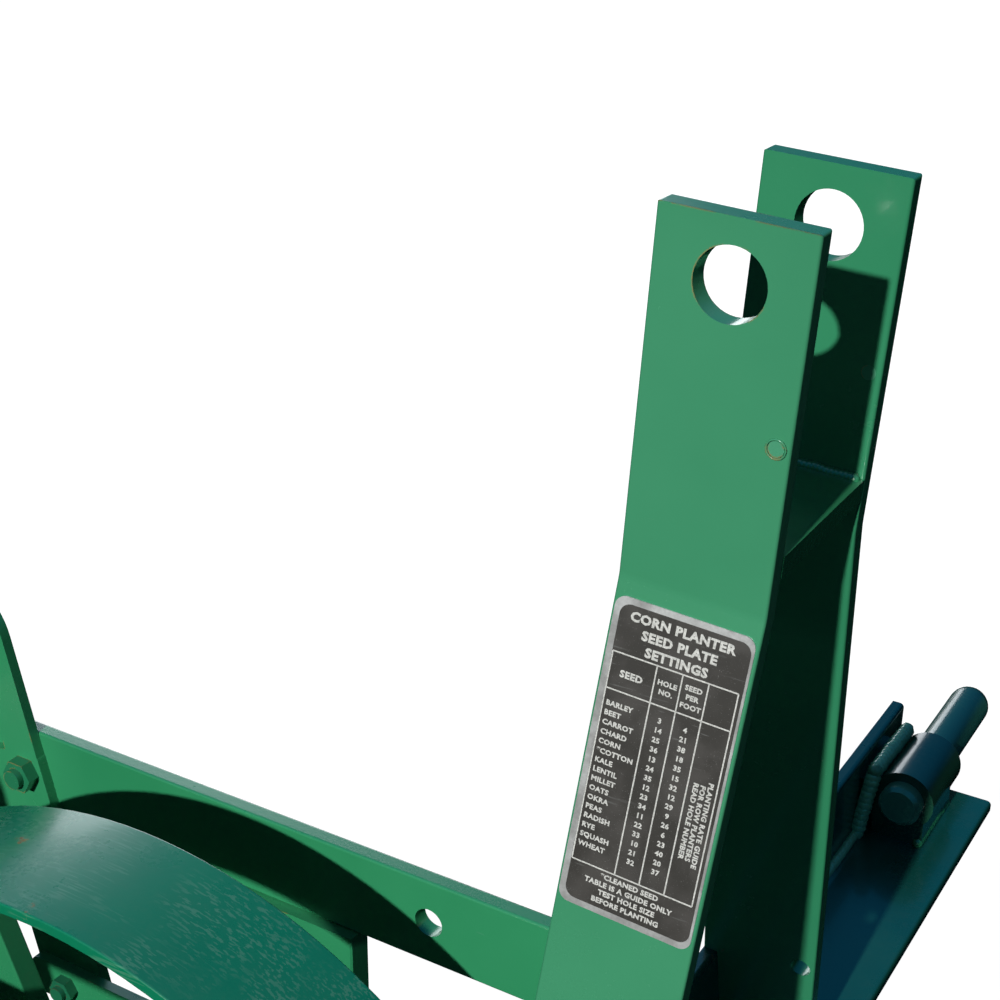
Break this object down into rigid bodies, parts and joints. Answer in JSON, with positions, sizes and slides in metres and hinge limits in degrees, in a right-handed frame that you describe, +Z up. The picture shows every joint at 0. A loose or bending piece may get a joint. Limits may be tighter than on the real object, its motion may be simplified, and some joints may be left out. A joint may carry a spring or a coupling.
{
  "type": "single-row corn planter",
  "caption": "Single-row corn planter on a three-point hitch frame with a leaning mast, steel drive wheel, seed hopper, opener, covering blades and press wheel.",
  "frame": {"origin": "centre of the footprint, on the ground under the two wheels", "axes": "+X forward to the tractor, +Y to the machine's left, +Z up"},
  "size_m": [1.3252, 0.784, 0.8875],
  "materials": {
    "frame_paint": "glossy enamel",
    "wheel_paint": "glossy enamel",
    "hopper_paint": "glossy enamel",
    "casting": "painted sand casting",
    "chart": "printed foil",
    "zinc_bolts": "zinc plated",
    "bright_steel": "turned",
    "plated_sheet": "zinc plated",
    "soil_steel": "soil polished",
    "black_plastic": "moulded",
    "belt_rubber": "fabric wrapped"
  },
  "bodies": {
    "frame": {"mast_plate_left": "frame_paint", "mast_plate_right": "frame_paint", "mast_spacer": "frame_paint", "mast_plugs": "frame_paint", "seed_chart_plate": "chart", "hitch_cross_angle": "frame_paint", "hitch_bushings": "frame_paint", "hitch_pins": "frame_paint", "rail_left": "frame_paint", "rail_right": "frame_paint", "front_cross_tube": "frame_paint", "rear_cross_tube": "frame_paint", "axle_hangers": "frame_paint", "axle_bearings": "casting", "hanger_ties": "frame_paint", "hopper_brace_left": "frame_paint", "hopper_brace_right": "frame_paint", "hopper_band": "hopper_paint", "hopper_base": "casting", "hopper_shell": "hopper_paint", "lid_hinge": "hopper_paint", "lid_hinge_pin": "zinc_bolts", "plate_centre_bolt": "zinc_bolts", "plate_wing_nut": "zinc_bolts", "seed_funnel": "casting", "seed_tube": "plated_sheet", "opener_clamp": "frame_paint", "opener_set_screw": "zinc_bolts", "covering_tines": "soil_steel", "covering_blades": "soil_steel", "arm_pivot_bolts": "zinc_bolts", "wheel_scraper": "soil_steel", "drive_belt": "belt_rubber", "frame_bolts": "zinc_bolts"},
    "drive_wheel": {"drive_wheel_rim": "wheel_paint", "drive_wheel_spokes": "wheel_paint", "drive_wheel_hub": "wheel_paint", "drive_axle": "bright_steel", "axle_collar": "zinc_bolts", "drive_pulley": "wheel_paint"},
    "agitator": {"agitator_shaft": "bright_steel", "agitator_collar": "zinc_bolts", "agitator_fingers": "bright_steel", "agitator_pulley": "wheel_paint"},
    "idler_arm": {"idler_arm": "frame_paint", "idler_axle_bolt": "zinc_bolts"},
    "idler_wheel": {"idler_wheel": "bright_steel"},
    "lid": {"hopper_lid": "hopper_paint", "lid_knob": "black_plastic"},
    "seed_plate": {"seed_plate": "plated_sheet"},
    "gate": {"shut_off_gate": "plated_sheet"},
    "opener": {"opener_shank": "frame_paint", "opener_shoe": "soil_steel", "shoe_bolts": "zinc_bolts"},
    "press_arms": {"press_arms": "wheel_paint", "press_arm_tie": "wheel_paint", "press_scraper": "soil_steel", "press_axle": "zinc_bolts", "press_spacers": "bright_steel"},
    "press_wheel": {"press_wheel": "wheel_paint"}
  },
  "joints": [
    {"name": "drive_wheel_spin", "type": "hinge", "parent": "frame", "child": "drive_wheel", "pos_m": [0.31032, 0, 0.255], "axis": [0, 1, 0], "continuous": true},
    {"name": "agitator_spin", "type": "hinge", "parent": "frame", "child": "agitator", "pos_m": [-0.17968, 0, 0.522], "axis": [0, 1, 0], "continuous": true},
    {"name": "idler_swing", "type": "hinge", "parent": "frame", "child": "idler_arm", "pos_m": [-0.02626, -0.127, 0.4496], "axis": [0, 1, 0], "range_deg": [0, 14]},
    {"name": "idler_spin", "type": "hinge", "parent": "idler_arm", "child": "idler_wheel", "pos_m": [-0.01826, -0.15, 0.33643], "axis": [0, 1, 0], "continuous": true},
    {"name": "lid_hinge", "type": "hinge", "parent": "frame", "child": "lid", "pos_m": [-0.29368, 0, 0.751], "axis": [0, -1, 0], "range_deg": [0, 105]},
    {"name": "seed_plate_turn", "type": "hinge", "parent": "frame", "child": "seed_plate", "pos_m": [-0.17968, 0, 0.475], "axis": [0, 0, 1], "continuous": true},
    {"name": "gate_swing", "type": "hinge", "parent": "frame", "child": "gate", "pos_m": [-0.08468, 0.042, 0.475], "axis": [0, 0, 1], "range_deg": [0, 43]},
    {"name": "opener_depth", "type": "slide", "parent": "frame", "child": "opener", "axis": [0, 0, 1], "range_m": [-0.035, 0.012]},
    {"name": "press_arm_swing", "type": "hinge", "parent": "frame", "child": "press_arms", "pos_m": [-0.36268, 0, 0.4496], "axis": [0, 1, 0], "range_deg": [-9, 0]},
    {"name": "press_wheel_spin", "type": "hinge", "parent": "press_arms", "child": "press_wheel", "pos_m": [-0.51268, 0, 0.15], "axis": [0, 1, 0], "continuous": true}
  ],
  "couplings": [
    {"joint": "agitator_spin", "follows": "drive_wheel_spin", "ratio": 1.5556},
    {"joint": "idler_spin", "follows": "drive_wheel_spin", "ratio": -2.3333}
  ]
}
